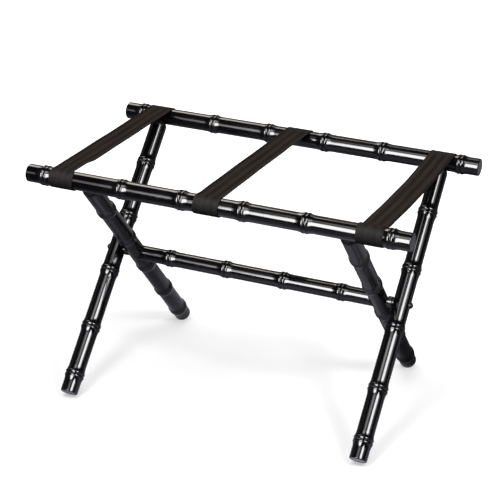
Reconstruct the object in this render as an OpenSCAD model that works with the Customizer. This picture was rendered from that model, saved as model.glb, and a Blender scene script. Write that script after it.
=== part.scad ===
// Folding luggage rack with turned bamboo-look poles and three webbing straps.
// X runs along the rails, Y from front to back and Z up from the floor.
// Two frames cross like scissors: the inner one carries the front rail, the outer one the back rail.

/* [Rack] */
// Length of each top rail
rail_length = 710; // [650:5:800]
// Distance between the two rail axes when the straps are taut
rail_spacing = 381; // [350:1:420]
// Height of the top of the rails above the floor
rack_height = 445; // [420:1:480]
// Angle between each leg and the floor
leg_angle = 47.15; // [45:0.05:50]
// Clear gap between an inner leg and the outer leg beside it
leg_gap = 10.3; // [6:0.1:14]

/* [Poles] */
// Diameter of the plain stretches of rails and legs
pole_d = 32; // [29:0.5:34]
// Diameter of the plain stretches of the stretcher
stretcher_d = 28.5; // [25:0.5:30]
// Length of a rail beyond its last node
rail_stub = 35; // [25:1:50]
// Length of a leg beyond its last node
foot_stub = 35.6; // [25:0.1:50]
// Chamfer round the cut end of a pole
end_chamfer = 1.2; // [0.6:0.1:2]

/* [Bamboo nodes] */
// Half the length of a node with the swelling on each side of it
node_half = 14.7; // [12:0.1:18]
// How far the pole swells beside the beads
swell_rise = 1.3; // [0.6:0.1:1.6]
// Distance from the middle of a node to the outer edge of its beads
node_neck = 6; // [5.8:0.1:7.5]
// Height of the two beads above the plain pole
bead_rise = 2.2; // [1.6:0.1:2.8]
// Radius of a bead's rounded back
bead_radius = 2.9; // [2.6:0.1:3]
// Distance from the middle of a node to the crest of a bead
bead_offset = 3.65; // [3.2:0.05:3.8]
// Depth of the sharp groove between the two beads, from their crests
groove_depth = 1.65; // [1:0.05:2.1]

/* [Node places] */
// Clear length of the stretcher between an inner leg and the nearest node
stretcher_end_bay = 54.5; // [40:0.5:70]
// Distance along a leg from the rail axis to the first node
leg_top_bay = 102.4; // [70:0.1:115]
// Distance along a leg from the pivot to the node above it
bay_above_pivot = 65.8; // [45:0.1:80]
// Distance along a leg from the pivot to the node below it
bay_below_pivot = 47; // [40:0.5:60]
// Distance between the last two nodes of a leg
foot_bay = 95.4; // [70:0.1:110]

/* [Leg to rail joint] */
// Diameter of the round tenon on top of a leg
tenon_d = 16; // [12:0.5:18]
// How far the tenon reaches past the rail axis
tenon_reach = 6; // [2:0.5:8]
// Radius of the leg's rounded shoulder where it meets the rail
shoulder_r = 10.5; // [9.5:0.1:12]
// Distance from the rail axis to where the leg has its full diameter
shoulder_length = 24; // [20:0.5:30]
// Gap left for glue round a tenon and under a coped end
glue_gap = 0.1; // [0.05:0.01:0.2]

/* [Pivot] */
// Diameter of the pivot bolt's shank
bolt_d = 6; // [5:0.5:8]
// Diameter of the bolt's domed head
head_d = 12; // [10:0.5:14]
// Height of the bolt's domed head
head_height = 5; // [2.5:0.1:6]
// Width across flats of the hexagon socket in the head
socket_af = 5; // [3:0.5:5]
// Depth of the hexagon socket
socket_depth = 2; // [1:0.1:2.4]
// Diameter of the washer under the head
washer_d = 13; // [11:0.5:15]
// Thickness of the washer
washer_thickness = 1.5; // [0.5:0.1:2]
// Diameter of the spacer between two legs
spacer_d = 14; // [12:0.5:18]
// Diameter of the flange round the middle of the spacer
flange_d = 20; // [18:0.5:24]
// Gap between the spacer's flange and the round side of a leg
flange_gap = 1.2; // [0.8:0.1:2]
// Outer diameter of the threaded insert in the stretcher's end
insert_d = 10; // [9.5:0.5:12]
// Length of the threaded insert
insert_length = 15; // [10:1:20]
// Depth of the insert below the coped end of the stretcher
insert_recess = 1; // [0.5:0.5:3]
// How much wider a flat seat on a leg is than the piece on it
seat_rim = 0.25; // [0.1:0.05:0.5]
// How far a flat seat is sunk below where its rim meets the leg's round side
seat_sink = 0.3; // [0.2:0.05:0.6]
// Radial clearance of the bolt in the outer leg, which turns on it
running_clearance = 0.06; // [0.03:0.01:0.1]
// Radial clearance of the bolt in the pieces that it is fixed to
fixed_clearance = 0.04; // [0.02:0.01:0.08]
// Play of the outer leg along the bolt, on each side
leg_play = 0.3; // [0.2:0.05:0.5]

/* [Straps] */
// Width of the webbing
strap_width = 46; // [36:1:50]
// How far a side strap lies over the thin foot of the swelling beside it
strap_overlap = 1; // [0:0.1:1.5]
// Thickness of the webbing
strap_thickness = 1.6; // [1.2:0.1:2.2]
// Gap between the webbing and the rail that it wraps
strap_clearance = 0.3; // [0.2:0.05:0.5]
// How far a strap wraps round the front rail, from its top
front_wrap = 215; // [205:1:225]
// How far a strap wraps round the back rail, from its top, where the outer legs limit it
back_wrap = 165; // [163:1:168]
// Sag of the left strap at its middle
left_strap_sag = 2; // [0:0.5:15]
// Sag of the middle strap at its middle
middle_strap_sag = 0; // [0:0.5:15]
// Sag of the right strap at its middle
right_strap_sag = 10; // [0:0.5:15]

/* [Tacks] */
// Diameter of a tack's head
tack_head_d = 8; // [6:0.5:9]
// Height of a tack's domed head
tack_head_height = 1.4; // [1:0.1:2]
// Diameter of a tack's shank
tack_d = 1.8; // [1.4:0.1:2.2]
// How far a tack's shank reaches into the rail
tack_bite = 9; // [6:0.5:11]
// Distance between the two tacks of a strap end
tack_spacing = 26; // [22:1:30]
// Where the tacks sit round the front rail, from its top
front_tack_angle = 200; // [190:1:210]
// Where the tacks sit round the back rail, from its top
back_tack_angle = 148; // [140:1:149]
// Radial clearance of a tack's shank in the webbing
tack_hole_clearance = 0.3; // [0.2:0.05:0.4]

/* [Hidden] */

left = -1;
right = 1;
front = -1;
back = 1;
lacquer = [0.05, 0.05, 0.055];
webbing = [0.16, 0.14, 0.13];
bolt_black = [0.1, 0.1, 0.11];
brass = [0.72, 0.58, 0.3];
nylon = [0.2, 0.2, 0.2];
steel = [0.5, 0.5, 0.52];

// Number of faces of a full circle in the preview
round_fn = 72;
// Extra length that lets a cutter run out of what it cuts
cut = 1;

pole_r = pole_d / 2;
stretcher_r = stretcher_d / 2;
tenon_r = tenon_d / 2;
bolt_r = bolt_d / 2;

// The rails in the YZ plane
rail_y = rail_spacing / 2;
rail_z = rack_height - pole_r;

// The legs run from a rail axis through the pivot to the floor, where the chamfered end rests
foot_end_z = max(
    (pole_r - end_chamfer) * cos(leg_angle),
    pole_r * cos(leg_angle) - end_chamfer * sin(leg_angle)
);
leg_length = (rail_z - foot_end_z) / sin(leg_angle);
pivot_along = rail_y / cos(leg_angle);
pivot_z = rail_z - pivot_along * sin(leg_angle);

// Places along X, from the rail's end inwards
rail_end_node = rail_length / 2 - rail_stub;
outer_leg_x = rail_end_node - node_half + strap_overlap - strap_width / 2;
inner_leg_x = outer_leg_x - pole_d - leg_gap;
stretcher_face_x = inner_leg_x - pole_r - glue_gap;
inner_node = (stretcher_face_x - stretcher_end_bay) / 3;
stretcher_nodes = inner_node * [-3, -1, 1, 3];
rail_nodes = concat([-rail_end_node], stretcher_nodes, [rail_end_node]);

// Places along a leg, from the rail axis down
leg_nodes = [
    leg_top_bay,
    pivot_along - bay_above_pivot,
    pivot_along + bay_below_pivot,
    leg_length - foot_stub - foot_bay,
    leg_length - foot_stub
];

// Distance from a leg's axis to a flat seat that is sunk into its round side
function seat_distance(r) = sqrt(pole_r * pole_r - r * r) - seat_sink;
spacer_seat_r = spacer_d / 2 + seat_rim;
washer_seat_r = washer_d / 2 + seat_rim;
spacer_seat = seat_distance(spacer_seat_r);
washer_seat = seat_distance(washer_seat_r);
spacer_start = inner_leg_x + spacer_seat;
spacer_end = outer_leg_x - spacer_seat - leg_play;
flange_start = inner_leg_x + pole_r + flange_gap;
flange_end = outer_leg_x - pole_r - flange_gap;
washer_start = outer_leg_x + washer_seat + leg_play;
head_start = washer_start + washer_thickness;
insert_start = stretcher_face_x - insert_recess;
insert_end = insert_start - insert_length;

strap_inner_r = pole_r + strap_clearance;
strap_middle_r = strap_inner_r + strap_thickness / 2;
strap_outer_r = strap_inner_r + strap_thickness;

// Bamboo node outlines, as points of radius and distance along the pole

bead_step = 15;
bead_outer_turn = 45;
bead_inner_turn = 30;
swell_steps = 6;

// A bead's rounded back from one turn to the other, with its crest at place
function bead(r, place, from_turn, to_turn) = [
    for (turn = [from_turn:bead_step:to_turn]) [
        r + bead_rise - bead_radius * (1 - cos(turn)),
        place + bead_radius * sin(turn)
    ]
];

// A hollow swelling that rises from the plain pole towards the beads, on side -1 or 1
function swelling(r, place, side) = [
    for (i = [0:swell_steps])
        let (share = side < 0 ? i / swell_steps : 1 - i / swell_steps) [
            r + swell_rise * share * share,
            place + side * (node_half - (node_half - node_neck) * share)
        ]
];

// A whole node: a swelling up to the foot of a bead, the two beads with a sharp groove between, a swelling
function node_points(r, place) = concat(
    swelling(r, place, -1),
    bead(r, place - bead_offset, -bead_outer_turn, bead_inner_turn),
    [[r + bead_rise - groove_depth, place]],
    bead(r, place + bead_offset, -bead_inner_turn, bead_outer_turn),
    swelling(r, place, 1)
);

// All the nodes of a pole, one after another
function nodes_points(r, places) = [
    for (place = places) each node_points(r, place)
];

// The chamfered end of a pole at the given place, closing the outline on the axis
function end_points(r, place) = [
    [r, place - end_chamfer],
    [r - end_chamfer, place],
    [0, place]
];

// The chamfered start of a pole, mirrored from its end
function start_points(r, place) = [
    [0, place],
    [r - end_chamfer, place],
    [r, place + end_chamfer]
];

// Turned pieces

// Lays a piece that was turned about Z along X
module along_x() {
    rotate([0, 90, 0]) children();
}

// Places a leg's own frame: Z runs down the leg from the rail axis
module leg_frame(rail_side) {
    translate([0, rail_side * rail_y, rail_z])
        rotate([rail_side * (90 + leg_angle), 0, 0])
            children();
}

// A rail before its sockets and tack holes are bored
module rail_blank() {
    along_x() rotate_extrude($fn = round_fn) polygon(concat(
        start_points(pole_r, -rail_length / 2),
        nodes_points(pole_r, rail_nodes),
        end_points(pole_r, rail_length / 2)
    ));
}

// A rail with a blind socket for each of its two legs and pilot holes for the tacks
module rail(rail_side, leg_x) {
    color(lacquer) difference() {
        translate([0, rail_side * rail_y, rail_z]) rail_blank();
        for (side = [left, right])
            leg_frame(rail_side) translate([side * leg_x, 0, -tenon_reach - glue_gap])
                cylinder(r = tenon_r + glue_gap, h = pole_d, $fn = round_fn);
        tack_places(rail_side) translate([0, 0, pole_r - tack_bite])
            cylinder(d = tack_d, h = pole_r, $fn = round_fn);
    }
}

// A leg before its bore and seats are cut: tenon, rounded shoulder, nodes and foot
module leg_blank() {
    rotate_extrude($fn = round_fn) polygon(concat(
        [[0, -tenon_reach], [tenon_r, -tenon_reach]],
        shoulder_points(),
        nodes_points(pole_r, leg_nodes),
        end_points(pole_r, leg_length)
    ));
}

// The shoulder starts deep enough to be coped to the rail all round
shoulder_start = sqrt(pole_r * pole_r - shoulder_r * shoulder_r) - cut;
shoulder_steps = 6;
function shoulder_points() = concat(
    [[tenon_r, shoulder_start], [shoulder_r, shoulder_start]],
    [for (i = [0:shoulder_steps])
        let (turn = 90 * i / shoulder_steps) [
            shoulder_r + (pole_r - shoulder_r) * sin(turn),
            pole_r + (shoulder_length - pole_r) * (1 - cos(turn))
        ]
    ]
);

// Cuts the shoulder to the rail's round side but leaves the tenon
module cope_to_rail() {
    difference() {
        along_x() cylinder(r = pole_r + glue_gap, h = pole_d + 2 * cut, center = true, $fn = round_fn);
        cylinder(r = tenon_r, h = 3 * pole_d, center = true, $fn = round_fn);
    }
}

// A flat round seat cut into one side of a leg at the pivot
module seat_cut(distance, seat_r, side) {
    translate([side * distance, 0, pivot_along]) rotate([0, side * 90, 0])
        cylinder(r = seat_r, h = pole_r, $fn = round_fn);
}

// The bore for the pivot bolt
module pivot_bore(clearance) {
    translate([0, 0, pivot_along]) along_x()
        cylinder(r = bolt_r + clearance, h = 2 * pole_d, center = true, $fn = round_fn);
}

module inner_leg(side) {
    color(lacquer) translate([side * inner_leg_x, 0, 0]) leg_frame(front) difference() {
        leg_blank();
        cope_to_rail();
        pivot_bore(fixed_clearance);
        seat_cut(spacer_seat, spacer_seat_r, side);
    }
}

module outer_leg(side) {
    color(lacquer) translate([side * outer_leg_x, 0, 0]) leg_frame(back) difference() {
        leg_blank();
        cope_to_rail();
        pivot_bore(running_clearance);
        seat_cut(spacer_seat, spacer_seat_r, -side);
        seat_cut(washer_seat, washer_seat_r, side);
    }
}

// The stretcher lies on the pivot axis, and its ends are coped to the inner legs
module stretcher() {
    color(lacquer) difference() {
        translate([0, 0, pivot_z]) along_x() rotate_extrude($fn = round_fn) polygon(concat(
            [[0, -inner_leg_x], [stretcher_r, -inner_leg_x]],
            nodes_points(stretcher_r, stretcher_nodes),
            [[stretcher_r, inner_leg_x], [0, inner_leg_x]]
        ));
        for (side = [left, right]) {
            leg_frame(front) translate([side * inner_leg_x, 0, pivot_along])
                cylinder(r = pole_r + glue_gap, h = 3 * pole_d, center = true, $fn = round_fn);
            pivot_tube(side, insert_end - cut, inner_leg_x, insert_d / 2 + glue_gap);
        }
    }
}

// Pivot hardware

// A rod on the pivot axis from one distance to another on the given side
module pivot_tube(side, start, end, r) {
    translate([0, 0, pivot_z]) rotate([0, side * 90, 0]) translate([0, 0, start])
        cylinder(r = r, h = end - start, $fn = round_fn);
}

// The bolt turns in the outer leg and is screwed into the insert
module pivot_bolt(side) {
    dome_r = (head_d * head_d / 4 + head_height * head_height) / (2 * head_height);
    color(bolt_black) union() {
        pivot_tube(side, insert_end + cut, head_start + head_height / 4, bolt_r);
        translate([side * head_start, 0, pivot_z]) rotate([0, side * 90, 0]) difference() {
            intersection() {
                translate([0, 0, head_height - dome_r]) sphere(r = dome_r, $fn = round_fn);
                cylinder(d = head_d, h = head_height, $fn = round_fn);
            }
            translate([0, 0, head_height - socket_depth])
                cylinder(d = socket_af / cos(30), h = socket_depth + cut, $fn = 6);
        }
    }
}

module pivot_washer(side) {
    color(nylon) difference() {
        pivot_tube(side, washer_start, head_start, washer_d / 2);
        pivot_tube(side, washer_start - cut, head_start + cut, bolt_r + fixed_clearance);
    }
}

module pivot_spacer(side) {
    color(bolt_black) difference() {
        union() {
            pivot_tube(side, spacer_start, spacer_end, spacer_d / 2);
            pivot_tube(side, flange_start, flange_end, flange_d / 2);
        }
        pivot_tube(side, spacer_start - cut, spacer_end + cut, bolt_r + fixed_clearance);
    }
}

module pivot_insert(side) {
    color(brass) difference() {
        pivot_tube(side, insert_end, insert_start, insert_d / 2);
        pivot_tube(side, insert_end - cut, insert_start + cut, bolt_r + fixed_clearance);
    }
}

// Straps and tacks

strap_xs = [-outer_leg_x, 0, outer_leg_x];
wrap_steps = 36;
sag_steps = 16;

// The angle by which a sagging strap leaves the top of a rail
function sag_angle(sag) = 2 * atan(sag / rail_y);

// Height of the strap's middle line, at y, between the rails
function sag_z(y, sag) =
    let (turn = sag_angle(sag), reach = sag > 0 ? rail_y / sin(turn) : 0)
        sag > 0
            ? rail_z + reach * cos(turn) - sqrt(pow(reach - strap_middle_r, 2) - y * y)
            : rail_z + strap_middle_r;

// One side of the webbing, offset from its middle line, from the front wrap to the back wrap
function strap_line(sag, offset) =
    let (
        turn = sag_angle(sag),
        r = strap_middle_r + offset,
        run = rail_y - strap_middle_r * sin(turn)
    ) concat(
        [for (i = [0:wrap_steps])
            let (a = front_wrap - (front_wrap + turn) * i / wrap_steps)
                [-rail_y - r * sin(a), rail_z + r * cos(a)]
        ],
        [for (i = [1:1:sag > 0 ? sag_steps - 1 : 0])
            let (y = run * (2 * i / sag_steps - 1)) [y, sag_z(y, sag) + offset]
        ],
        [for (i = [0:wrap_steps])
            let (a = -turn + (back_wrap + turn) * i / wrap_steps)
                [rail_y + r * sin(a), rail_z + r * cos(a)]
        ]
    );

// A strap is the band between its upper and its lower line, pierced for its tacks
module strap(strap_x, sag) {
    upper = strap_line(sag, strap_thickness / 2);
    lower = strap_line(sag, -strap_thickness / 2);
    last = len(lower) - 1;
    color(webbing) difference() {
        translate([strap_x - strap_width / 2, 0, 0]) rotate([90, 0, 90])
            linear_extrude(strap_width)
                polygon(concat(upper, [for (i = [0:last]) lower[last - i]]));
        for (rail_side = [front, back])
            tack_places(rail_side, [strap_x]) translate([0, 0, pole_r])
                cylinder(r = tack_d / 2 + tack_hole_clearance, h = 3 * strap_thickness, $fn = round_fn);
    }
}

// Repeats its child at each tack of a rail, with Z pointing out of the rail
module tack_places(rail_side, xs = strap_xs) {
    tack_angle = rail_side == front ? front_tack_angle : back_tack_angle;
    for (x = xs, side = [left, right])
        translate([x + side * tack_spacing / 2, rail_side * rail_y, rail_z])
            rotate([-rail_side * tack_angle, 0, 0])
                children();
}

// A tack with its domed head just clear of the webbing
module tacks(rail_side) {
    head_r = tack_head_d / 2;
    dome_r = (head_r * head_r + tack_head_height * tack_head_height) / (2 * tack_head_height);
    head_base = strap_outer_r + strap_clearance;
    shank_r = tack_d / 2 - fixed_clearance;
    color(steel) tack_places(rail_side) {
        translate([0, 0, pole_r - tack_bite])
            cylinder(r = shank_r, h = tack_bite - pole_r + head_base + tack_head_height / 2, $fn = round_fn);
        translate([0, 0, head_base]) intersection() {
            translate([0, 0, tack_head_height - dome_r]) sphere(r = dome_r, $fn = round_fn);
            cylinder(d = tack_head_d, h = tack_head_height, $fn = round_fn);
        }
    }
}

rail(front, inner_leg_x);  // front_rail
rail(back, outer_leg_x);  // back_rail
inner_leg(left);  // inner_leg_left
inner_leg(right);  // inner_leg_right
outer_leg(left);  // outer_leg_left
outer_leg(right);  // outer_leg_right
stretcher();
pivot_bolt(left);  // pivot_bolt_left
pivot_bolt(right);  // pivot_bolt_right
pivot_washer(left);  // pivot_washer_left
pivot_washer(right);  // pivot_washer_right
pivot_spacer(left);  // pivot_spacer_left
pivot_spacer(right);  // pivot_spacer_right
pivot_insert(left);  // pivot_insert_left
pivot_insert(right);  // pivot_insert_right
strap(-outer_leg_x, left_strap_sag);  // strap_left
strap(0, middle_strap_sag);  // strap_middle
strap(outer_leg_x, right_strap_sag);  // strap_right
tacks(front);  // front_rail_tacks
tacks(back);  // back_rail_tacks
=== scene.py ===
import math

import bpy
import numpy as np
from mathutils import Matrix, Vector


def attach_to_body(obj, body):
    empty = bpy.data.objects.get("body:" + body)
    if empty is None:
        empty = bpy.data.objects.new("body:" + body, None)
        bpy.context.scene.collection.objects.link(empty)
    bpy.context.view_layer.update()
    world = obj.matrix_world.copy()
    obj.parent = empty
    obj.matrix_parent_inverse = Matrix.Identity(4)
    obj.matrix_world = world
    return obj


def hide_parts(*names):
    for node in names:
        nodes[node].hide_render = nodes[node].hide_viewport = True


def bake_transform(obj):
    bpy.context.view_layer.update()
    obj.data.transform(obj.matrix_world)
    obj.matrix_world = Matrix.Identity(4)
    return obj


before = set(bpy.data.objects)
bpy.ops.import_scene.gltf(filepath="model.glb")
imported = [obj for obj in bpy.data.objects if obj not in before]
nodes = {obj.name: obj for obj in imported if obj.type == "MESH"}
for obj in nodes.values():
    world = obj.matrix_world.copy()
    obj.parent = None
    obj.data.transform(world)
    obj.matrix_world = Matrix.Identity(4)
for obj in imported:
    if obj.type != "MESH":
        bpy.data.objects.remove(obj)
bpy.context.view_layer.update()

scene = bpy.context.scene
scene.view_settings.view_transform = "Standard"

# ---------------------------------------------------------------- measures of the rack, in metres
MM = 0.001
RAIL_LENGTH = 710 * MM
RAIL_Y = 190.5 * MM
RAIL_Z = 429 * MM
LEG_TURN = math.radians(47.15)
POLE_R = 16 * MM
STRETCHER_R = 14.25 * MM
END_CHAMFER = 1.2 * MM
OUTER_LEG_X = 283.3 * MM
INNER_LEG_X = 241 * MM
FOOT_END_Z = (POLE_R - END_CHAMFER) * math.cos(LEG_TURN)
LEG_LENGTH = (RAIL_Z - FOOT_END_Z) / math.sin(LEG_TURN)
PIVOT_ALONG = RAIL_Y / math.cos(LEG_TURN)
PIVOT_Z = RAIL_Z - PIVOT_ALONG * math.sin(LEG_TURN)
RAIL_NODES = np.array([-320, -170.4, -56.8, 56.8, 170.4, 320]) * MM
STRETCHER_NODES = RAIL_NODES[1:5]
LEG_NODES = np.array([
    102.4 * MM,
    PIVOT_ALONG - 65.8 * MM,
    PIVOT_ALONG + 47 * MM,
    LEG_LENGTH - (35.6 + 95.4) * MM,
    LEG_LENGTH - 35.6 * MM,
])
# a bamboo node, then a pole's ends and its seats at the pivot
NODE_HALF, NODE_NECK, SWELL_RISE, SWELL_POWER = 16.5 * MM, 6 * MM, 1.3 * MM, 2.3
BEAD_RISE, BEAD_R, BEAD_OFFSET, GROOVE_DEPTH = 2.2 * MM, 2.9 * MM, 3.65 * MM, 1.65 * MM
BEAD_INNER = 3.9 * MM
LACQUER_STEP = 0.15 * MM
EDGE_ROUND = 0.45 * MM
END_FACE_RINGS = np.array([0.75, 0.4, 0.12])
SHOULDER_R, SHOULDER_LENGTH = 10.5 * MM, 24 * MM
COPE_OVERLAP = 0.4 * MM
SEAT_SINK, SEAT_RIM, SEAT_FADE = 0.3 * MM, 0.25 * MM, 0.7 * MM
WASHER_SEAT_R, SPACER_SEAT_R = 6.5 * MM + SEAT_RIM, 7 * MM + SEAT_RIM
# the straps
STRAP_WIDTH, STRAP_THICKNESS = 46 * MM, 1.6 * MM
STRAP_R = POLE_R + 0.3 * MM + STRAP_THICKNESS / 2
FRONT_WRAP, BACK_WRAP = math.radians(215), math.radians(165)
DIP_FADE = 55 * MM
WAVER_HIGH, WAVER_LONG = 0.3 * MM, 21 * MM
# how finely the meshes are drawn
COARSE_STEP, LEAST_STEP = 9 * MM, 0.15 * MM
POINTS_ROUND, WRAP_STEPS, SPAN_STEPS, WEBBING_POINTS = 96, 46, 150, 26


# ---------------------------------------------------------------- camera
def make_camera():
    """A camera at the photograph's place: distance back from its target, and turned by its own right, up and backward
    directions."""
    data = bpy.data.cameras.new("camera")
    data.sensor_width = 36
    data.lens = 120.82
    data.clip_start, data.clip_end = 0.1, 60
    camera = bpy.data.objects.new("camera", data)
    back = Vector((0.35899, -0.84369, 0.39917))
    right = Vector((0.91665, 0.39923, 0.01945))
    up = Vector((-0.17577, 0.35891, 0.91669))
    target, distance = Vector((-0.04882, 0.08914, 0.22918)), 3.16241
    turn = Matrix((right, up, back)).transposed().to_4x4()
    camera.matrix_world = Matrix.Translation(target + back * distance) @ turn
    scene.collection.objects.link(camera)
    scene.camera = camera


make_camera()


# ---------------------------------------------------------------- meshes
def mesh_object(name, points, faces, uvs=None):
    """A smooth-shaded object from points, quads or triangles, and one UV for each face corner."""
    mesh = bpy.data.meshes.new(name)
    mesh.from_pydata(points, [], faces)
    mesh.shade_smooth()
    if uvs is not None:
        layer = mesh.uv_layers.new(name="UVMap")
        layer.data.foreach_set("uv", np.asarray(uvs, np.float32).ravel())
    mesh.validate()
    mesh.update()
    made = bpy.data.objects.new(name, mesh)
    scene.collection.objects.link(made)
    return made


def tube_object(name, rings, across, along):
    """Closes a grid of rings into a solid: neighbours in a ring and between rings share a quad, and each end is a fan
    round the middle of its ring. rings has the shape (rings, points, 3), across gives U for a ring's points and the
    point after the last, along gives V for each ring."""
    count, size = rings.shape[:2]
    row, column = np.meshgrid(np.arange(count - 1), np.arange(size), indexing="ij")
    after = (column + 1) % size
    here, above = row * size, (row + 1) * size
    quads = np.stack([here + column, here + after, above + after, above + column], -1)
    u0, u1, v0, v1 = across[column], across[column + 1], along[row], along[row + 1]
    corners = [np.stack(corner, -1) for corner in ((u0, v0), (u1, v0), (u1, v1), (u0, v1))]
    quad_uv = np.stack(corners, 2).reshape(-1, 2)
    points = np.concatenate([rings.reshape(-1, 3), rings[:1].mean(1), rings[-1:].mean(1)])
    first = np.arange(size)
    second = (first + 1) % size
    last_ring = (count - 1) * size
    start_fan = np.stack([np.full(size, count * size), second, first], -1)
    end_fan = np.stack([np.full(size, count * size + 1), last_ring + first, last_ring + second], -1)
    fan_uv = np.zeros((size, 3, 2))
    fan_uv[:, :, 0] = across[first][:, None]
    faces = quads.reshape(-1, 4).tolist() + start_fan.tolist() + end_fan.tolist()
    uvs = np.concatenate([quad_uv] + [(fan_uv + [0, v]).reshape(-1, 2) for v in (along[0], along[-1])])
    return mesh_object(name, points.tolist(), faces, uvs)


# ---------------------------------------------------------------- turned poles
def node_height(distance):
    """How far a bamboo node stands above the plain pole at a distance from its middle. Two beads stand on a swelling
    that falls away to the plain pole as the share of the way back to the power SWELL_POWER. A bead's outer side is a
    circle of radius BEAD_R, followed to just short of its steepest point. Its inner side is part of an ellipse
    BEAD_INNER wide that meets the other bead in a sharp groove."""
    a = np.abs(distance)
    share = np.clip((NODE_HALF - np.maximum(a, BEAD_OFFSET)) / (NODE_HALF - NODE_NECK), 0, None)
    swell = SWELL_RISE * share**SWELL_POWER
    outside = np.clip(a - BEAD_OFFSET, 0, 0.99 * BEAD_R)
    outer = BEAD_RISE - BEAD_R + np.sqrt(BEAD_R**2 - outside**2)
    ellipse_high = GROOVE_DEPTH / (1 - math.sqrt(1 - (BEAD_OFFSET / BEAD_INNER) ** 2))
    inside = np.clip((BEAD_OFFSET - a) / BEAD_INNER, 0, 1)
    inner = BEAD_RISE - ellipse_high * (1 - np.sqrt(1 - inside**2))
    return np.where(a > BEAD_OFFSET, np.maximum(outer, swell), inner)


def pole_heights(along, places):
    """The height of a pole's nodes at each place along it. Five neighbours, LACQUER_STEP apart, are averaged with the
    weights 1 4 6 4 1, as lacquer rounds the turner's sharp edges."""
    total = np.zeros_like(along)
    for weight, shift in zip((1, 4, 6, 4, 1), (-2, -1, 0, 1, 2)):
        near = along[:, None] + shift * LACQUER_STEP - places[None, :]
        total += weight / 16 * node_height(near).max(1)
    return total


def pole_stations(start, end, places, extra=()):
    """Places along a pole where a ring is put: about every COARSE_STEP, every 1 mm over the swellings and every 0.25 mm
    over the beads. Where two fall less than LEAST_STEP apart, the second is left out."""
    coarse = np.linspace(start, end, int((end - start) / COARSE_STEP))
    offsets = np.concatenate([np.arange(-17, -8, 1), np.arange(-8, 8.01, 0.25), np.arange(9, 17.1, 1)]) * MM
    fine = (places[:, None] + offsets[None, :]).ravel()
    every = np.sort(np.concatenate([coarse, fine, extra]))
    every = every[(every >= start) & (every <= end)]
    keep = np.concatenate([[True], np.diff(every) > LEAST_STEP])
    return every[keep]


def rounded_end(place):
    """Radius and place of the upper end of a pole that ends at place, from its side over the chamfer to its face. Each
    edge of the chamfer is rounded by the parabola that three points span."""
    slant, face_r = EDGE_ROUND / math.sqrt(2), POLE_R - END_CHAMFER
    share = np.linspace(0, 1, 5)[:, None]
    corners = (
        ((POLE_R, END_CHAMFER + EDGE_ROUND), (POLE_R, END_CHAMFER), (POLE_R - slant, END_CHAMFER - slant)),
        ((face_r + slant, slant), (face_r, 0), (face_r - EDGE_ROUND, 0)),
    )
    curves = [(1 - share) ** 2 * a + 2 * share * (1 - share) * b + share**2 * c for a, b, c in np.array(corners)]
    face = face_r * END_FACE_RINGS
    radii, depth = np.concatenate(curves + [np.stack([face, np.zeros_like(face)], -1)]).T
    return radii, place - depth


def lathe(radii, stations):
    """Rings of a turned piece about Z: at each station, the radius times the cosine and sine of the turn."""
    turn = np.arange(POINTS_ROUND) / POINTS_ROUND * 2 * math.pi
    rings = np.empty((len(stations), POINTS_ROUND, 3))
    rings[..., 0] = radii[:, None] * np.cos(turn)
    rings[..., 1] = radii[:, None] * np.sin(turn)
    rings[..., 2] = stations[:, None]
    return rings


def pole_uv(rings, radius):
    """U is the distance round the plain pole and V the distance along it, both in metres."""
    return np.arange(POINTS_ROUND + 1) / POINTS_ROUND * 2 * math.pi * radius, rings[..., 2].mean(1)


def make_rail(name, y):
    """A turned rail along X. The lathe's Z becomes X, its X becomes -Z and its Y stays."""
    half = RAIL_LENGTH / 2
    end_r, end_s = rounded_end(half)
    body = pole_stations(-half + 2 * END_CHAMFER, half - 2 * END_CHAMFER, RAIL_NODES)
    stations = np.concatenate([-end_s[::-1], body, end_s])
    radii = np.concatenate([end_r[::-1], POLE_R + pole_heights(body, RAIL_NODES), end_r])
    rings = lathe(radii, stations)
    across, along = pole_uv(rings, POLE_R)
    placed = np.stack([rings[..., 2], rings[..., 1] + y, RAIL_Z - rings[..., 0]], -1)
    return tube_object(name, placed, across, along)


def seat(local, side, distance, radius):
    """Presses a flat round seat into a leg at the pivot: where a point lies within radius of the bolt's axis, its X is
    held to distance, and the press fades out over SEAT_FADE, smoothly."""
    from_axis = np.hypot(local[..., 1], local[..., 2] - PIVOT_ALONG)
    fade = np.clip((from_axis - radius) / SEAT_FADE, 0, 1)
    fade = fade * fade * (3 - 2 * fade)
    x = local[..., 0] * side
    local[..., 0] = side * np.where(x > distance, distance + (x - distance) * fade, x)


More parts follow.
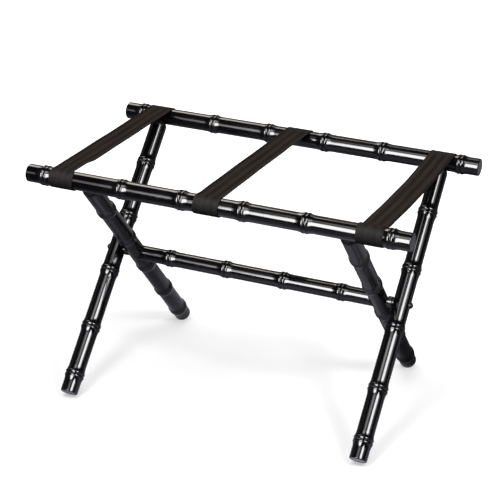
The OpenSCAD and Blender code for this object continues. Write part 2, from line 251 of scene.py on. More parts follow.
def make_leg(name, x, rail_side, seats):
    """A turned leg: a neck coped to the rail, a rounded shoulder, nodes and a square-cut foot. In the leg's own frame Z
    runs from the rail axis down the leg. The neck's first ring lies just inside the rail: its Z is the root of the
    rail's radius squared less the ring's Y squared, less COPE_OVERLAP. seats gives the side and radius of each seat at
    the pivot. The value "corner", the mask of painted shade under the rail, is 1 on the neck and shoulder and falls to
    0 just below them."""
    turn = np.linspace(0, math.pi / 2, 12)
    shoulder_r = SHOULDER_R + (POLE_R - SHOULDER_R) * np.sin(turn)
    shoulder_s = POLE_R + (SHOULDER_LENGTH - POLE_R) * (1 - np.cos(turn))
    end_r, end_s = rounded_end(LEG_LENGTH)
    near_pivot = PIVOT_ALONG + np.arange(-9, 9.01, 0.6) * MM
    body = pole_stations(SHOULDER_LENGTH + 2 * MM, LEG_LENGTH - 2 * END_CHAMFER, LEG_NODES, near_pivot)
    stations = np.concatenate([[POLE_R - MM], shoulder_s, body, end_s])
    radii = np.concatenate([[SHOULDER_R], shoulder_r, POLE_R + pole_heights(body, LEG_NODES), end_r])
    rings = lathe(radii, stations)
    across, along = pole_uv(rings, POLE_R)
    rings[0, :, 2] = np.sqrt(POLE_R**2 - rings[0, :, 1] ** 2) - COPE_OVERLAP
    for side, seat_r in seats:
        seat(rings, side, math.sqrt(POLE_R**2 - seat_r**2) - SEAT_SINK, seat_r)
    tilt = rail_side * (math.pi / 2 + LEG_TURN)
    y, z = rings[..., 1], rings[..., 2]
    placed = np.stack([
        x + rings[..., 0],
        rail_side * RAIL_Y + y * math.cos(tilt) - z * math.sin(tilt),
        RAIL_Z + y * math.sin(tilt) + z * math.cos(tilt),
    ], -1)
    leg = tube_object(name, placed, across, along)
    # painted shade: this mask makes the lacquer dark and dull on the neck and shoulder, where the rail shades them
    painted_shade = np.clip((SHOULDER_LENGTH + 3 * MM - np.repeat(stations, POINTS_ROUND)) / (5 * MM), 0, 1)
    layer = leg.data.attributes.new("corner", "FLOAT", "POINT")
    layer.data.foreach_set("value", np.concatenate([painted_shade, [1, 0]]).astype(np.float32))
    return leg


def make_stretcher(name):
    """The turned stretcher along the pivot axis. Each end follows the inner leg's side: X is the leg's X less the root
    of the leg's radius squared less the square of the distance from the plane that holds both axes, and COPE_OVERLAP
    deeper. The ring before it lies halfway to the plain pole."""
    reach = INNER_LEG_X - POLE_R - 4 * MM
    body = pole_stations(-reach, reach, STRETCHER_NODES)
    stations = np.concatenate([[-INNER_LEG_X, -INNER_LEG_X], body, [INNER_LEG_X, INNER_LEG_X]])
    heights = STRETCHER_R + pole_heights(body, STRETCHER_NODES)
    rings = lathe(np.concatenate([[STRETCHER_R] * 2, heights, [STRETCHER_R] * 2]), stations)
    q = rings[0, :, 1] * math.sin(LEG_TURN) - rings[0, :, 0] * math.cos(LEG_TURN)
    end = INNER_LEG_X - np.sqrt(POLE_R**2 - q**2)
    rings[0, :, 2], rings[1, :, 2] = -end - COPE_OVERLAP, -end / 2 - reach / 2
    rings[-2, :, 2], rings[-1, :, 2] = end / 2 + reach / 2, end + COPE_OVERLAP
    across, along = pole_uv(rings, STRETCHER_R)
    placed = np.stack([rings[..., 2], rings[..., 1], PIVOT_Z - rings[..., 0]], -1)
    return tube_object(name, placed, across, along)


# ---------------------------------------------------------------- webbing straps
def strap_path(sag, dip, leave):
    """The strap's middle line in the YZ plane, and its upward normal: round the front rail until it slopes down by
    leave, over to the back rail, and round that. Between the rails it is an arc that sags by sag and meets the back
    rail tangentially, lowered by dip * exp(-x / DIP_FADE) - b * exp(-x / opening) at the distance x behind the front
    rail. b and opening are such that the line leaves the front rail in its place and along its tangent."""
    back_leave = 2 * math.atan(sag / RAIL_Y)
    reach = RAIL_Y / math.sin(back_leave) - STRAP_R
    level = RAIL_Z + (reach + STRAP_R) * math.cos(back_leave)
    start, end = -RAIL_Y + STRAP_R * math.sin(leave), RAIL_Y - STRAP_R * math.sin(back_leave)
    y = start + (end - start) * np.linspace(0, 1, SPAN_STEPS + 2)[1:-1] ** 1.5
    b = dip - (level - math.sqrt(reach**2 - start**2) - RAIL_Z - STRAP_R * math.cos(leave))
    opening = b / (start / math.sqrt(reach**2 - start**2) + math.tan(leave) + dip / DIP_FADE)
    x = y - start
    z = level - np.sqrt(reach**2 - y**2) - dip * np.exp(-x / DIP_FADE) + b * np.exp(-x / opening)
    front = np.linspace(FRONT_WRAP, -leave, WRAP_STEPS)
    back = np.linspace(-back_leave, BACK_WRAP, WRAP_STEPS)
    line = np.concatenate([
        np.stack([-RAIL_Y - STRAP_R * np.sin(front), RAIL_Z + STRAP_R * np.cos(front)], -1),
        np.stack([y, z], -1),
        np.stack([RAIL_Y + STRAP_R * np.sin(back), RAIL_Z + STRAP_R * np.cos(back)], -1),
    ])
    tangent = np.gradient(line, axis=0)
    tangent /= np.linalg.norm(tangent, axis=1, keepdims=True)
    return line, np.stack([-tangent[:, 1], tangent[:, 0]], -1)


def webbing_section(count):
    """The cross-section of a strap, as shares of half its width and half its thickness: flat above and below, with
    a half round at each selvedge. It starts at the left selvedge and runs over the top."""
    edge = STRAP_THICKNESS / STRAP_WIDTH
    turn = np.linspace(-math.pi / 2, math.pi / 2, 7)
    flat = np.linspace(-1 + edge, 1 - edge, count)
    left = np.stack([-1 + edge - edge * np.cos(turn), np.sin(turn)], -1)
    right = np.stack([1 - edge + edge * np.cos(turn), -np.sin(turn)], -1)
    top = np.stack([flat[1:-1], np.ones(count - 2)], -1)
    bottom = np.stack([flat[::-1][1:-1], -np.ones(count - 2)], -1)
    return np.concatenate([left, top, right, bottom])


def make_strap(name, x, width, sags, dips, leave, shifts, pinch):
    """A webbing strap. A point of its section at share s across the width lies on the path whose sag and dip go evenly
    from the left edge's to the right edge's. shifts moves the strap along X at the front rail and at the back rail,
    and a slow sine makes its edges waver a little. pinch draws the right edge in behind the front rail, by the square
    of s, and lets it go 45 to 70 mm from there. Returns the strap and its length along the middle."""
    section = webbing_section(WEBBING_POINTS)
    low, low_n = strap_path(sags[0], dips[0], leave)
    high, high_n = strap_path(sags[1], dips[1], leave)
    share = (section[:, 0] + 1) / 2
    line = low[:, None] * (1 - share[None, :, None]) + high[:, None] * share[None, :, None]
    normal = low_n[:, None] * (1 - share[None, :, None]) + high_n[:, None] * share[None, :, None]
    normal /= np.linalg.norm(normal, axis=-1, keepdims=True)
    step = np.linalg.norm(np.diff((low + high) / 2, axis=0), axis=1)
    along = np.concatenate([[0], np.cumsum(step)])
    way = along / along[-1]
    rings = np.empty((len(low), len(section), 3))
    offset = section[None, :, 1] * STRAP_THICKNESS / 2
    waver = WAVER_HIGH * np.sin(along / WAVER_LONG + 20 * x) * np.sin(math.pi * way)
    past = along - FRONT_WRAP * STRAP_R
    drawn = np.clip(np.stack([(past + 12 * MM) / (18 * MM), (70 * MM - past) / (25 * MM)]), 0, 1).min(0)
    drawn = drawn * drawn * (3 - 2 * drawn)
    rings[..., 0] = x + section[None, :, 0] * width / 2 + (shifts[0] * (1 - way) + shifts[1] * way + waver)[:, None]
    rings[..., 0] -= pinch * drawn[:, None] * share[None, :] ** 2
    rings[..., 1] = line[..., 0] + normal[..., 0] * offset
    rings[..., 2] = line[..., 1] + normal[..., 1] * offset
    across = (1 + np.concatenate([section[:, 0], section[:1, 0]])) * STRAP_WIDTH / 2
    return tube_object(name, rings[:, ::-1], across[::-1], along), along[-1]


# ---------------------------------------------------------------- materials
def new_material(name):
    """A node material with only its output and a Principled BSDF, its node tree and that shader."""
    made = bpy.data.materials.new(name)
    made.use_nodes = True
    tree = made.node_tree
    return made, tree, tree.nodes["Principled BSDF"]


def put(tree, kind, inputs=None, **settings):
    """A new node of that kind. settings are its properties, and inputs gives values or links by name or number."""
    node = tree.nodes.new(kind)
    for key, value in settings.items():
        setattr(node, key, value)
    for key, value in (inputs or {}).items():
        if isinstance(value, bpy.types.NodeSocket):
            tree.links.new(value, node.inputs[key])
        else:
            node.inputs[key].default_value = value
    return node


def calc(tree, operation, a, b=0.0, c=0.0, clamp=False):
    """The output of a Math node."""
    return put(tree, "ShaderNodeMath", {0: a, 1: b, 2: c}, operation=operation, use_clamp=clamp).outputs[0]


def ramp(tree, value, low, high, start=0.0, end=1.0):
    """value mapped evenly from low..high to start..end, and held at the ends."""
    return put(tree, "ShaderNodeMapRange", {0: value, 1: low, 2: high, 3: start, 4: end}).outputs[0]


def blend_colour(tree, share, a, b):
    """The colour a turned into b by share. Inputs 0, 6 and 7 and output 2 are the Mix node's colour sockets."""
    return put(tree, "ShaderNodeMix", {0: share, 6: a, 7: b}, data_type="RGBA").outputs[2]


def attach(tree, shader, colour, roughness, height, strength, distance):
    """Feeds a material's colour, its roughness and, as a bump, its height to its shader."""
    bump = put(tree, "ShaderNodeBump", {"Height": height, "Strength": strength, "Distance": distance})
    tree.links.new(colour, shader.inputs["Base Color"])
    tree.links.new(roughness, shader.inputs["Roughness"])
    tree.links.new(bump.outputs[0], shader.inputs["Normal"])


def new_group(name, inputs, outputs):
    """A shader node group with number sockets: inputs gives each one's name and default, and outputs the names."""
    tree = bpy.data.node_groups.new(name, "ShaderNodeTree")
    for label, value in inputs.items():
        tree.interface.new_socket(name=label, in_out="INPUT", socket_type="NodeSocketFloat").default_value = value
    for label in outputs:
        tree.interface.new_socket(name=label, in_out="OUTPUT", socket_type="NodeSocketFloat")
    return tree, tree.nodes.new("NodeGroupInput"), tree.nodes.new("NodeGroupOutput")


def make_unevenness():
    """Group: the unevenness that any coated surface has. Broad waves and a fine skin give a height, and slow clouds
    give a mask for roughness and colour."""
    tree, given, made = new_group(
        "coating_unevenness", {"Wave Size": 45.0, "Skin Size": 420.0, "Skin Share": 0.2}, ("Height", "Mask")
    )
    place = put(tree, "ShaderNodeTexCoord").outputs["Object"]
    wave = put(tree, "ShaderNodeTexNoise", {"Vector": place, "Scale": given.outputs["Wave Size"], "Detail": 1.0})
    skin = put(tree, "ShaderNodeTexNoise", {"Vector": place, "Scale": given.outputs["Skin Size"], "Detail": 2.0})
    part = calc(tree, "MULTIPLY", skin.outputs[0], given.outputs["Skin Share"])
    height = calc(tree, "ADD", wave.outputs[0], part)
    cloud = put(tree, "ShaderNodeTexNoise", {"Vector": place, "Scale": 14.0, "Detail": 5.0, "Roughness": 0.65})
    mask = ramp(tree, cloud.outputs[0], 0.38, 0.68)
    tree.links.new(height, made.inputs["Height"])
    tree.links.new(mask, made.inputs["Mask"])
    return tree


UNEVENNESS = make_unevenness()


def add_unevenness(tree, wave, skin, share):
    """Places the coating unevenness in a material. wave and skin are noise scales, finer as they grow."""
    sizes = {"Wave Size": wave, "Skin Size": skin, "Skin Share": share}
    return put(tree, "ShaderNodeGroup", sizes, node_tree=UNEVENNESS)


def black_lacquer():
    """Thick black lacquer over turned wood: almost black, a glossy coat, gentle waves and a faint clouding. Painted
    shade: where a leg meets its rail, the coat is made dull and black metal, which sends back next to no light, takes
    its place, so that the neck and shoulder under the rail show no highlight."""
    made, tree, shader = new_material("black_lacquer")
    uneven = add_unevenness(tree, 38.0, 300.0, 0.04)
    mask = uneven.outputs["Mask"]
    colour = blend_colour(tree, mask, (0.0014, 0.0012, 0.0017, 1), (0.0034, 0.0028, 0.0036, 1))
    # painted shade: on the neck and shoulder under the rail the coat turns to black metal and goes rough, so they stay
    # dark
    corner = put(tree, "ShaderNodeAttribute", attribute_name="corner").outputs["Fac"]
    dullness = calc(tree, "MAXIMUM", ramp(tree, mask, 0, 1, 0.09, 0.15), ramp(tree, corner, 0, 1, 0.0, 0.7))
    tree.links.new(ramp(tree, corner, 0, 1, 0.0, 0.8), shader.inputs["Metallic"])
    attach(tree, shader, colour, dullness, uneven.outputs["Height"], 0.25, 0.6 * MM)
    shader.inputs["IOR"].default_value = 1.5
    return made


def black_webbing(name, turn, phase):
    """Black-brown webbing: weft ribs across the strap, warp threads that pass over and under them, bands of tighter and
    looser threads along it, and a denser selvedge. Where it is wrapped round the rails its colour is greyer and
    lighter, painted cool light, and over the front of the front rail it carries a painted sheen, with painted shade
    under the rail. turn is 1, or -1 for a strap whose other side is up, and phase moves its bands by a share of the
    width."""
    made, tree, shader = new_material(name)
    weave = put(tree, "ShaderNodeGroup", {"Band Turns": 3.0 * turn, "Band Phase": phase}, node_tree=WEAVE)
    flat = blend_colour(tree, weave.outputs["Shade"], (0.0071, 0.0055, 0.0047, 1), (0.0262, 0.0209, 0.0177, 1))
    # painted light: the wraps round the rails get a cooler, lighter colour, scaled by the painted sheen and shade of
    # the front wrap
    wrap_painted_light = blend_colour(tree, weave.outputs["Shade"], (0.0126, 0.0116, 0.0117, 1), (0.0476, 0.0436, 0.0432, 1))
    wrap_painted_light = blend_colour(tree, weave.outputs["Painted Light"], (0, 0, 0, 1), wrap_painted_light)
    colour = blend_colour(tree, weave.outputs["Pull"], flat, wrap_painted_light)
    height = weave.outputs["Height"]
    attach(tree, shader, colour, ramp(tree, height, 0, 1, 0.85, 0.68), height, 0.6, 0.4 * MM)
    shader.inputs["Specular IOR Level"].default_value = 0.0
    shader.inputs["Sheen Weight"].default_value = 0.01
    shader.inputs["Sheen Roughness"].default_value = 0.5
    return made


def make_weave():
    """Group: a ribbed weave on the piece's own UV map in metres, U across and V along. Ribs and threads are the sizes
    of sines, and every second rib shifts the warp threads by half a thread. Dark and light bands, a sine of Band Turns
    over the width, run along the webbing under fine streaks and clouds. The pull is 1 on the outer 52 mm of the length,
    which lie round the rails, and falls to 0 by 67 mm. Where it is 1 the bands are weak and a fine speckle is strong.
    The painted light output is a painted sheen, strongest 46 to 50 mm from the front end, where the strap turns over
    the front of the rail, with painted shade below 26 mm, under the rail, and a lower level beyond 60 mm."""
    tree, given, made = new_group(
        "webbing_weave",
        {"Rib Pitch": 1.3 * MM, "Thread Pitch": 1.1 * MM, "Width": STRAP_WIDTH, "Length": 493.5 * MM,
         "Band Turns": 3.0, "Band Phase": 0.0},
        ("Height", "Shade", "Pull", "Painted Light"),
    )
    uv = put(tree, "ShaderNodeUVMap", uv_map="UVMap").outputs[0]
    parts = put(tree, "ShaderNodeSeparateXYZ", {0: uv})
    u, v = parts.outputs[0], parts.outputs[1]
    rib = calc(tree, "DIVIDE", v, given.outputs["Rib Pitch"])
    rib_wave = calc(tree, "ABSOLUTE", calc(tree, "SINE", calc(tree, "MULTIPLY", rib, math.pi)))
    odd = calc(tree, "MULTIPLY", calc(tree, "FLOORED_MODULO", calc(tree, "FLOOR", rib), 2.0), 0.5)
    thread = calc(tree, "ADD", calc(tree, "DIVIDE", u, given.outputs["Thread Pitch"]), odd)
    thread_wave = calc(tree, "ABSOLUTE", calc(tree, "SINE", calc(tree, "MULTIPLY", thread, math.pi)))
    height = calc(tree, "ADD", calc(tree, "MULTIPLY", rib_wave, 0.55), calc(tree, "MULTIPLY", thread_wave, 0.45))
    over = calc(tree, "DIVIDE", u, given.outputs["Width"])
    middle = calc(tree, "ABSOLUTE", calc(tree, "SUBTRACT", over, 0.5))
    turns = calc(tree, "SUBTRACT", over, given.outputs["Band Phase"])
    turns = calc(tree, "MULTIPLY", turns, given.outputs["Band Turns"])
    turns = calc(tree, "MULTIPLY", turns, -2 * math.pi)
    half_length = calc(tree, "MULTIPLY", given.outputs["Length"], 0.5)
    from_middle = calc(tree, "ABSOLUTE", calc(tree, "SUBTRACT", v, half_length))
    pull = ramp(tree, calc(tree, "SUBTRACT", half_length, from_middle), 52 * MM, 67 * MM, 1.0, 0.0)
    band = calc(tree, "MULTIPLY", calc(tree, "SINE", turns), ramp(tree, pull, 0, 1, 0.27, 0.03))
    speck = put(tree, "ShaderNodeTexNoise", {"Vector": uv, "Scale": 700.0, "Detail": 2.0}).outputs[0]
    speck = calc(tree, "MULTIPLY", calc(tree, "SUBTRACT", speck, 0.5), ramp(tree, pull, 0, 1, 0.25, 1.6))
    stretched = put(tree, "ShaderNodeMapping", {"Vector": uv, "Scale": (420.0, 9.0, 1.0)}).outputs[0]
    streak = put(tree, "ShaderNodeTexNoise", {"Vector": stretched, "Scale": 1.0, "Detail": 3.0, "Roughness": 0.6})
    streak = calc(tree, "MULTIPLY", streak.outputs[0], 0.9)
    cloud = put(tree, "ShaderNodeTexNoise", {"Vector": uv, "Scale": 60.0, "Detail": 3.0}).outputs[0]
    shade = calc(tree, "ADD", streak, calc(tree, "ADD", band, speck))
    shade = calc(tree, "ADD", shade, calc(tree, "MULTIPLY", cloud, 0.35))
    shade = calc(tree, "ADD", shade, calc(tree, "MULTIPLY", height, 0.35))
    selvedge = ramp(tree, middle, 0.46, 0.49, 0.0, 0.12)
    shade = calc(tree, "SUBTRACT", calc(tree, "SUBTRACT", shade, 0.42), selvedge, clamp=True)
    # painted sheen over the front of the front rail, and painted shade under the rail
    rise, fall = ramp(tree, v, 26 * MM, 46.5 * MM, 0.2, 1.0), ramp(tree, v, 50 * MM, 60 * MM, 1.0, 0.57)
    painted_light = calc(tree, "MULTIPLY", rise, fall)
    for label, value in (("Height", height), ("Shade", shade), ("Pull", pull), ("Painted Light", painted_light)):
        tree.links.new(value, made.inputs[label])
    return tree


WEAVE = make_weave()


def thin_coating(name, unevenness, colours, roughness, bump, metallic=0.0):
    """The finish of a small piece: the unevenness mask turns the first colour into the second and the first roughness
    into the second, and the unevenness height is a bump of the given strength and distance."""
    made, tree, shader = new_material(name)
    uneven = add_unevenness(tree, *unevenness)
    mask = uneven.outputs["Mask"]
    colour = blend_colour(tree, mask, *colours)
    attach(tree, shader, colour, ramp(tree, mask, 0, 1, *roughness), uneven.outputs["Height"], *bump)
    shader.inputs["Metallic"].default_value = metallic
    return made


def black_bolt():
    """Blackened steel: dark, with a soft shine that the fine skin breaks up and rubbed patches a little brighter."""
    colours = (0.012, 0.012, 0.013, 1), (0.035, 0.034, 0.034, 1)
    return thin_coating("black_bolt", (160.0, 1400.0, 0.5), colours, (0.38, 0.26), (0.25, 0.2 * MM), 0.85)


def black_enamel():
    """Black enamel on the steel spacers between the legs: glossy, with a fine skin and duller patches."""
    colours = (0.0030, 0.0028, 0.0032, 1), (0.0065, 0.0062, 0.0064, 1)
    return thin_coating("black_enamel", (300.0, 2000.0, 0.6), colours, (0.16, 0.26), (0.2, 0.1 * MM))


def black_plastic():
    """Moulded plastic of the washers: dark grey, matt, with a fine moulded skin."""
    colours = (0.010, 0.010, 0.011, 1), (0.018, 0.018, 0.019, 1)
    return thin_coating("black_plastic", (300.0, 2200.0, 0.8), colours, (0.42, 0.55), (0.3, 0.1 * MM))


def plain_brass():
    """Turned brass of the inserts: warm, fairly bright, dulled in clouds."""
    colours = (0.56, 0.38, 0.13, 1), (0.36, 0.23, 0.09, 1)
    return thin_coating("plain_brass", (200.0, 1800.0, 0.4), colours, (0.22, 0.4), (0.2, 0.1 * MM), 1.0)


def blued_steel():
    """Upholstery tacks: blued steel with a soft shine, duller in patches."""
    colours = (0.045, 0.050, 0.062, 1), (0.085, 0.082, 0.080, 1)
    return thin_coating("blued_steel", (260.0, 1600.0, 0.5), colours, (0.24, 0.42), (0.25, 0.15 * MM), 1.0)


LACQUER = black_lacquer()
WEBBING = black_webbing("black_webbing", 1, 0.065)
TURNED_WEBBING = black_webbing("black_webbing_turned", -1, 0.076)


def finish_nodes(material, *names):
    """Gives CAD nodes a material in each of their slots."""
    for name in names:
        for slot in nodes[name].material_slots:
            slot.material = material


finish_nodes(black_bolt(), "pivot_bolt_left", "pivot_bolt_right")
finish_nodes(black_plastic(), "pivot_washer_left", "pivot_washer_right")
finish_nodes(black_enamel(), "pivot_spacer_left", "pivot_spacer_right")
finish_nodes(plain_brass(), "pivot_insert_left", "pivot_insert_right")
finish_nodes(blued_steel(), "front_rail_tacks", "back_rail_tacks")


# ---------------------------------------------------------------- the dressed pieces
def dress(piece, material, body, node):
    """Gives a piece its material and body, and lets it stand for its CAD node."""
    piece.data.materials.append(material)
    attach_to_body(piece, body)
    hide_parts(node)


INNER, OUTER = "inner_frame", "outer_frame"
dress(make_rail("front_rail_turned", -RAIL_Y), LACQUER, INNER, "front_rail")
dress(make_rail("back_rail_turned", RAIL_Y), LACQUER, OUTER, "back_rail")
dress(make_stretcher("stretcher_turned"), LACQUER, INNER, "stretcher")
for label, side in (("left", -1), ("right", 1)):
    inner = make_leg(f"inner_leg_{label}_turned", side * INNER_LEG_X, -1, [(side, SPACER_SEAT_R)])
    outer_seats = [(-side, SPACER_SEAT_R), (side, WASHER_SEAT_R)]
    outer = make_leg(f"outer_leg_{label}_turned", side * OUTER_LEG_X, 1, outer_seats)
    dress(inner, LACQUER, INNER, f"inner_leg_{label}")
    dress(outer, LACQUER, OUTER, f"outer_leg_{label}")

STRAPS = {  # middle X, width, sag and dip of each edge, slope behind the front rail, shift front and back, pinch
    "left": (-OUTER_LEG_X, 46 * MM, (0.6 * MM, 1.4 * MM), (0.8 * MM, 0.8 * MM), 8, (-1.2 * MM, 0.6 * MM), 5 * MM),
    "middle": (0.0, 47.2 * MM, (0.4 * MM, 0.4 * MM), (2.0 * MM, 2.0 * MM), 15, (-8.4 * MM, 4.9 * MM), 0),
    "right": (OUTER_LEG_X, 46.6 * MM, (10.2 * MM, 10.2 * MM), (7.4 * MM, 7.4 * MM), 35, (1 * MM, 1.3 * MM), 0),
}
for label, (x, width, sags, dips, leave, shifts, pinch) in STRAPS.items():
    strap, length = make_strap(f"strap_{label}_webbing", x, width, sags, dips, math.radians(leave), shifts, pinch)
    strap.data.materials.append(TURNED_WEBBING if label == "right" else WEBBING)
    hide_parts(f"strap_{label}")
    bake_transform(strap)


# ---------------------------------------------------------------- floor, world and lamps
def seen_ray(tree):
    """1 for a camera, glossy or transmission ray, 0 for the others."""
    path = put(tree, "ShaderNodeLightPath")
    total = calc(tree, "ADD", path.outputs["Is Camera Ray"], path.outputs["Is Glossy Ray"])
    return calc(tree, "ADD", total, path.outputs["Is Transmission Ray"], clamp=True)


def make_floor():
    """A wide floor that shows white, keeps the rack's shadow faint and bounces the lamps' light. What the camera and
    the gloss see is a mid grey under the lamps, plus a glow that rises away from the rack and behind it."""
    made, tree, shader = new_material("white_floor")
    tree.nodes.remove(shader)
    grain = put(tree, "ShaderNodeTexNoise", {"Scale": 2.0}).outputs[0]
    tint = blend_colour(tree, grain, (0.5, 0.5, 0.508, 1), (0.512, 0.51, 0.51, 1))
    shown = put(tree, "ShaderNodeBsdfDiffuse", {"Color": tint}).outputs[0]
    place = put(tree, "ShaderNodeTexCoord").outputs["Object"]
    far = put(tree, "ShaderNodeVectorMath", {0: place}, operation="LENGTH").outputs["Value"]
    behind = put(tree, "ShaderNodeSeparateXYZ", {0: place}).outputs[1]
    level = calc(tree, "ADD", ramp(tree, far, 0.5, 1.9, 0.465, 1.0), ramp(tree, behind, 0.2, 0.5, 0.0, 0.3))
    glow = put(tree, "ShaderNodeEmission", {"Strength": level}).outputs[0]
    shown = put(tree, "ShaderNodeAddShader", {0: shown, 1: glow}).outputs[0]
    bounce = put(tree, "ShaderNodeBsdfDiffuse", {"Color": (0.8, 0.8, 0.8, 1)}).outputs[0]
    mixed = put(tree, "ShaderNodeMixShader", {0: seen_ray(tree), 1: bounce, 2: shown}).outputs[0]
    tree.links.new(mixed, tree.nodes["Material Output"].inputs[0])
    half = 22.0
    corners = [(-half, -half, 0), (half, -half, 0), (half, half, 0), (-half, half, 0)]
    floor = mesh_object("floor", corners, [(0, 1, 2, 3)])
    floor.data.materials.append(made)


def make_world():
    """A white background for the camera and the gloss, and an even dim fill for the object."""
    world = bpy.data.worlds.new("studio")
    scene.world = world
    world.use_nodes = True
    tree = world.node_tree
    shade = tree.nodes["Background"]
    shade.inputs[0].default_value = (1, 1, 1, 1)
    tree.links.new(ramp(tree, seen_ray(tree), 0, 1, 0.2, 1.0), shade.inputs[1])


def make_lamp(name, place, size, watts):
    """A soft square lamp aimed at the middle of the rack. The gloss doesn't see it, because cards stand for it."""
    data = bpy.data.lights.new(name, "AREA")
    data.size = size
    data.energy = watts
    lamp = bpy.data.objects.new(name, data)
    lamp.location = place
    lamp.rotation_mode = "QUATERNION"
    middle = Vector((0, 0, 0.25))
    lamp.rotation_quaternion = (middle - Vector(place)).to_track_quat("-Z", "Y")
    lamp.visible_glossy = False
    scene.collection.objects.link(lamp)


def make_card(name, corners, strength, colour=(1, 1, 1), fade=(0.1, 0.1), rim=0.0, top=None):
    """A studio card that only the gloss sees. Its light falls off smoothly to the rim's strength towards its edges over
    the given shares of its width and height, and over the share top at its upper edge. corners run round it, from
    where U and V are 0."""
    made, tree, shader = new_material(name)
    tree.nodes.remove(shader)
    uv = put(tree, "ShaderNodeUVMap", uv_map="UVMap").outputs[0]
    parts = put(tree, "ShaderNodeSeparateXYZ", {0: uv})
    light = 1.0
    for axis, near, far in ((0, fade[0], fade[0]), (1, fade[1], top or fade[1])):
        left = calc(tree, "SUBTRACT", 1.0, parts.outputs[axis])
        for edge, share in ((parts.outputs[axis], near), (left, far)):
            rise = put(tree, "ShaderNodeMapRange", {0: edge, 1: 0.0, 2: share}, interpolation_type="SMOOTHSTEP")
            light = calc(tree, "MULTIPLY", light, rise.outputs[0])
    light = calc(tree, "MULTIPLY_ADD", light, strength - rim, rim)
    glow = put(tree, "ShaderNodeEmission", {"Color": (*colour, 1), "Strength": light}).outputs[0]
    tree.links.new(glow, tree.nodes["Material Output"].inputs[0])
    card = mesh_object(name, corners, [(0, 1, 2, 3)], [(0, 0), (1, 0), (1, 1), (0, 1)])
    card.data.materials.append(made)
    card.visible_camera = card.visible_diffuse = card.visible_shadow = card.visible_transmission = False


def make_room(h, t):
    """The dark studio round the rack, as cards: floor, ceiling and four walls at the distance h from the middle and of
    height t, each with its own brightness."""
    make_card("room_floor", [(-h, -h, 0.002), (h, -h, 0.002), (h, h, 0.002), (-h, h, 0.002)], 0.28, fade=(0.01, 0.01))
    make_card("room_ceiling", [(-h, -h, t), (h, -h, t), (h, h, t), (-h, h, t)], 0.02)
    make_card("room_left", [(-h, h, 0), (-h, -h, 0), (-h, -h, t), (-h, h, t)], 0.15, fade=(0.01, 0.4))
    make_card("room_right", [(h, -h, 0), (h, h, 0), (h, h, t), (h, -h, t)], 0.05, fade=(0.01, 0.4))
    make_card("room_front", [(-h, -h, 0), (h, -h, 0), (h, -h, t), (-h, -h, t)], 0.05, fade=(0.01, 0.4))
    make_card("room_back", [(h, h, 0), (-h, h, 0), (-h, h, t), (h, h, t)], 0.35, fade=(0.01, 0.5))


make_floor()
make_world()
make_lamp("key_lamp", (-0.27, -1.79, 2.57), 0.75, 46)
make_lamp("side_lamp", (2.03, -0.89, 2.28), 0.7, 52)
make_lamp("top_lamp", (-0.41, 0.17, 2.88), 3.0, 62)

make_room(5.0, 5.0)

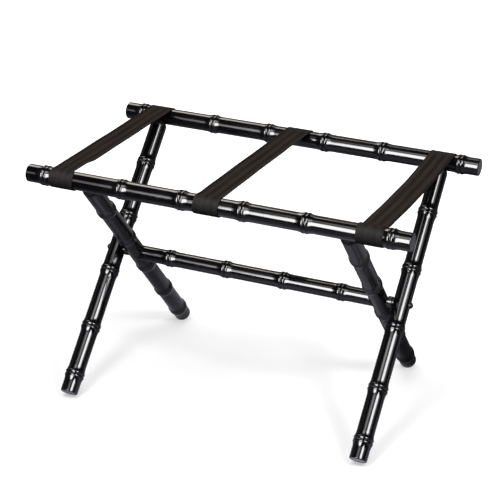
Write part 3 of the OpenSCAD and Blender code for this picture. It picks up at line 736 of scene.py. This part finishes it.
# Cards on the floor, a millimetre above one another, are what the undersides of the poles reflect: dark in front and
# to the left, bluish under the rack, and darkest on the two shade cards.
make_card(
    "dark_floor", [(-5, -5, 0.003), (-0.15, -5, 0.003), (-0.38, -0.42, 0.003), (-5, -0.42, 0.003)],
    0.05, fade=(0.02, 0.02), rim=0.04,
)
FLOOR_CARDS = [  # name, X from and to, Y from and to, strength, colour, fade, rim
    ("under_left_card", (-1.3, 0.1), (-0.45, 0.9), 0.22, (0.86, 0.86, 1), (0.3, 0.3), 0.14),
    ("under_right_card", (0, 1.4), (-0.45, 0.9), 0.4, (0.88, 0.88, 1), (0.15, 0.2), 0.22),
    ("under_front_card", (-0.38, 0.9), (-0.62, -0.12), 0.45, (0.82, 0.79, 1), (0.1, 0.3), 0.26),
    ("under_middle_card", (-0.32, 0.6), (-0.42, -0.02), 0.71, (0.82, 0.79, 1), (0.15, 0.3), 0.36),
    ("left_foot_card", (-0.34, -0.02), (0.1, 0.55), 0.44, (0.88, 0.88, 1), (0.3, 0.25), 0.2),
    ("right_shade_card", (0.2, 0.5), (0.02, 0.75), 0.05, (0.88, 0.86, 1), (0.25, 0.14), 0.26),
    ("middle_shade_card", (-0.02, 0.2), (0.14, 0.65), 0.0, (0.88, 0.86, 1), (0.3, 0.25), 0.18),
]
for layer, (name, (x0, x1), (y0, y1), *look) in enumerate(FLOOR_CARDS, start=4):
    z = layer * MM
    make_card(name, [(x0, y0, z), (x1, y0, z), (x1, y1, z), (x0, y1, z)], *look)

# Cards round the rack are what makes the long highlights on the poles.
WARM = (1, 0.93, 0.82)
make_card(
    "front_card", [(-1.4, -3.1, 0.92), (0.5, -3.1, -0.05), (0.5, -3.1, 3.1), (-1.4, -3.1, 3.72)],
    24, fade=(0.12, 0.07), rim=0.3, top=0.28,
)
make_card(
    "upper_card", [(-1.7, -3.1, 3.8), (1.4, -3.1, 2.8), (1.4, -1.0, 3.9), (-1.7, -1.0, 4.3)],
    7, fade=(0.5, 0.4), rim=0.3,
)
make_card(
    "left_card", [(-2.4, -3.17, 0.95), (-1.3, -3.17, 0.95), (-1.3, -3.17, 3.1), (-2.4, -3.17, 3.1)],
    2.3, fade=(0.2, 0.3),
)
make_card(
    "left_inner_card", [(-1.8, -3.14, 1.05), (-1.1, -3.14, 1.05), (-1.1, -3.14, 3.0), (-1.8, -3.14, 3.0)],
    6.3, fade=(0.35, 0.2), rim=2.4,
)
make_card(
    "right_card", [(2.5, -2.75, 1.45), (2.5, -0.55, 1.45), (2.5, -0.55, 3.6), (2.5, -2.75, 4.95)],
    22, fade=(0.15, 0.13),
)
make_card(
    "right_edge_card", [(2.53, -0.95, 0.8), (2.53, 0.15, 0.8), (2.53, 0.15, 2.7), (2.53, -0.95, 2.7)],
    3.0, fade=(0.45, 0.3), rim=0.05,
)
make_card(
    "back_card", [(-3.2, 2.0, 2.0), (-1.05, 2.0, 2.0), (-1.05, 1.7, 4.9), (-3.2, 1.7, 4.9)],
    6.8, WARM, fade=(0.08, 0.15), rim=1.0, top=0.05,
)
make_card(
    "back_right_card", [(-1.15, 2.1, 2.25), (0.15, 2.1, 2.25), (0.15, 1.8, 4.9), (-1.15, 1.8, 4.9)],
    2.3, WARM, fade=(0.35, 0.3),
)
